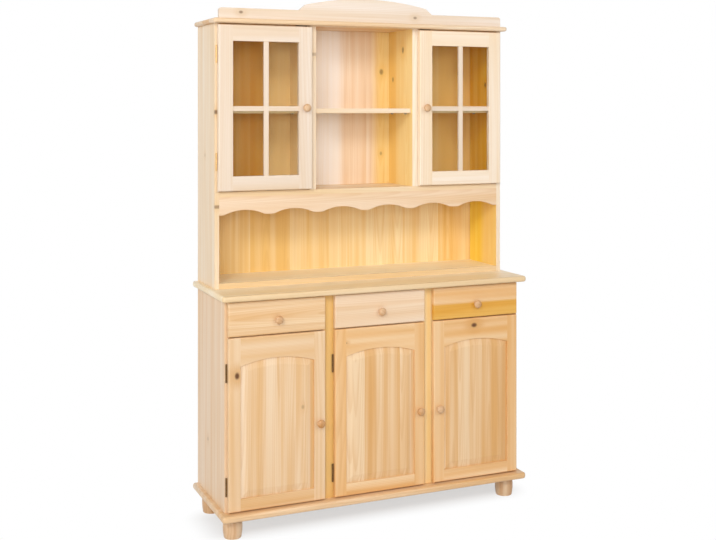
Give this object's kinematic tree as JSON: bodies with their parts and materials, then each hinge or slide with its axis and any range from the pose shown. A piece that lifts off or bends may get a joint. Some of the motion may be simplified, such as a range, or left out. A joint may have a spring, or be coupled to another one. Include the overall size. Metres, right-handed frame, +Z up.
{
  "type": "display cabinet",
  "caption": "Knotty pine dresser: glazed hutch with open shelves, scalloped apron and niche on a base with drawers and arched-panel doors, on turned feet.",
  "frame": {"origin": "on the floor, under the middle of the whole piece", "axes": "+X to the right side as seen from the front, +Y from the front to the wall, +Z up"},
  "size_m": [1.232, 0.4, 1.939],
  "materials": {
    "pine": "clear satin lacquer",
    "back_panel_pine": "clear satin lacquer",
    "window_glass": "polished",
    "hinge_bronze": "dark bronzed, satin",
    "hinge_brass": "satin brass",
    "zinc_steel": "zinc plated",
    "catch_plastic": "moulded brown"
  },
  "bodies": {
    "cabinet": {"base_side_left": "pine", "base_side_right": "pine", "base_partition_left": "pine", "base_partition_right": "pine", "base_posts": "pine", "base_board": "pine", "worktop": "pine", "base_back_panel": "back_panel_pine", "drawer_rails": "pine", "base_shelves": "pine", "drawer_runners": "pine", "feet": "pine", "hutch_side_left": "pine", "hutch_side_right": "pine", "hutch_partition_left": "pine", "hutch_partition_right": "pine", "hutch_bottom_board": "pine", "hutch_cabinet_floor": "pine", "hutch_apron": "pine", "cornice": "pine", "crest": "pine", "hutch_back_panel": "back_panel_pine", "hutch_open_shelf": "pine", "hutch_cabinet_shelves": "pine", "hinge_leaves_fixed": "hinge_bronze", "hinge_pins": "hinge_bronze", "magnet_catches": "catch_plastic", "shelf_pins": "zinc_steel", "tie_plates": "zinc_steel"},
    "drawer_left": {"drawer_left_front": "pine", "drawer_left_box": "pine", "drawer_left_knob": "pine"},
    "drawer_middle": {"drawer_middle_front": "pine", "drawer_middle_box": "pine", "drawer_middle_knob": "pine"},
    "drawer_right": {"drawer_right_front": "pine", "drawer_right_box": "pine", "drawer_right_knob": "pine"},
    "door_left": {"door_left_frame": "pine", "door_left_panel": "pine", "door_left_knob": "pine", "door_left_fittings": "hinge_bronze"},
    "door_middle": {"door_middle_frame": "pine", "door_middle_panel": "pine", "door_middle_knob": "pine", "door_middle_fittings": "hinge_bronze"},
    "door_right": {"door_right_frame": "pine", "door_right_panel": "pine", "door_right_knob": "pine", "door_right_fittings": "hinge_bronze"},
    "glass_door_left": {"glass_door_left_frame": "pine", "glass_door_left_bars": "pine", "glass_door_left_pane": "window_glass", "glass_door_left_knob": "pine", "glass_door_left_fittings": "hinge_brass"},
    "glass_door_right": {"glass_door_right_frame": "pine", "glass_door_right_bars": "pine", "glass_door_right_pane": "window_glass", "glass_door_right_knob": "pine", "glass_door_right_fittings": "hinge_brass"}
  },
  "joints": [
    {"name": "drawer_left_slide", "type": "slide", "parent": "cabinet", "child": "drawer_left", "axis": [0, -1, 0], "range_m": [0, 0.24]},
    {"name": "drawer_middle_slide", "type": "slide", "parent": "cabinet", "child": "drawer_middle", "axis": [0, -1, 0], "range_m": [0, 0.24]},
    {"name": "drawer_right_slide", "type": "slide", "parent": "cabinet", "child": "drawer_right", "axis": [0, -1, 0], "range_m": [0, 0.24]},
    {"name": "door_left_hinge", "type": "hinge", "parent": "cabinet", "child": "door_left", "pos_m": [-0.5906, -0.1575, 0.4085], "axis": [0, 0, -1], "range_deg": [0, 145]},
    {"name": "door_middle_hinge", "type": "hinge", "parent": "cabinet", "child": "door_middle", "pos_m": [-0.1866, -0.1575, 0.4085], "axis": [0, 0, -1], "range_deg": [0, 110]},
    {"name": "door_right_hinge", "type": "hinge", "parent": "cabinet", "child": "door_right", "pos_m": [0.5906, -0.1575, 0.4085], "axis": [0, 0, 1], "range_deg": [0, 145]},
    {"name": "glass_door_left_hinge", "type": "hinge", "parent": "cabinet", "child": "glass_door_left", "pos_m": [-0.5906, -0.0335, 1.5255], "axis": [0, 0, -1], "range_deg": [0, 145]},
    {"name": "glass_door_right_hinge", "type": "hinge", "parent": "cabinet", "child": "glass_door_right", "pos_m": [0.5906, -0.0335, 1.5255], "axis": [0, 0, 1], "range_deg": [0, 145]}
  ]
}
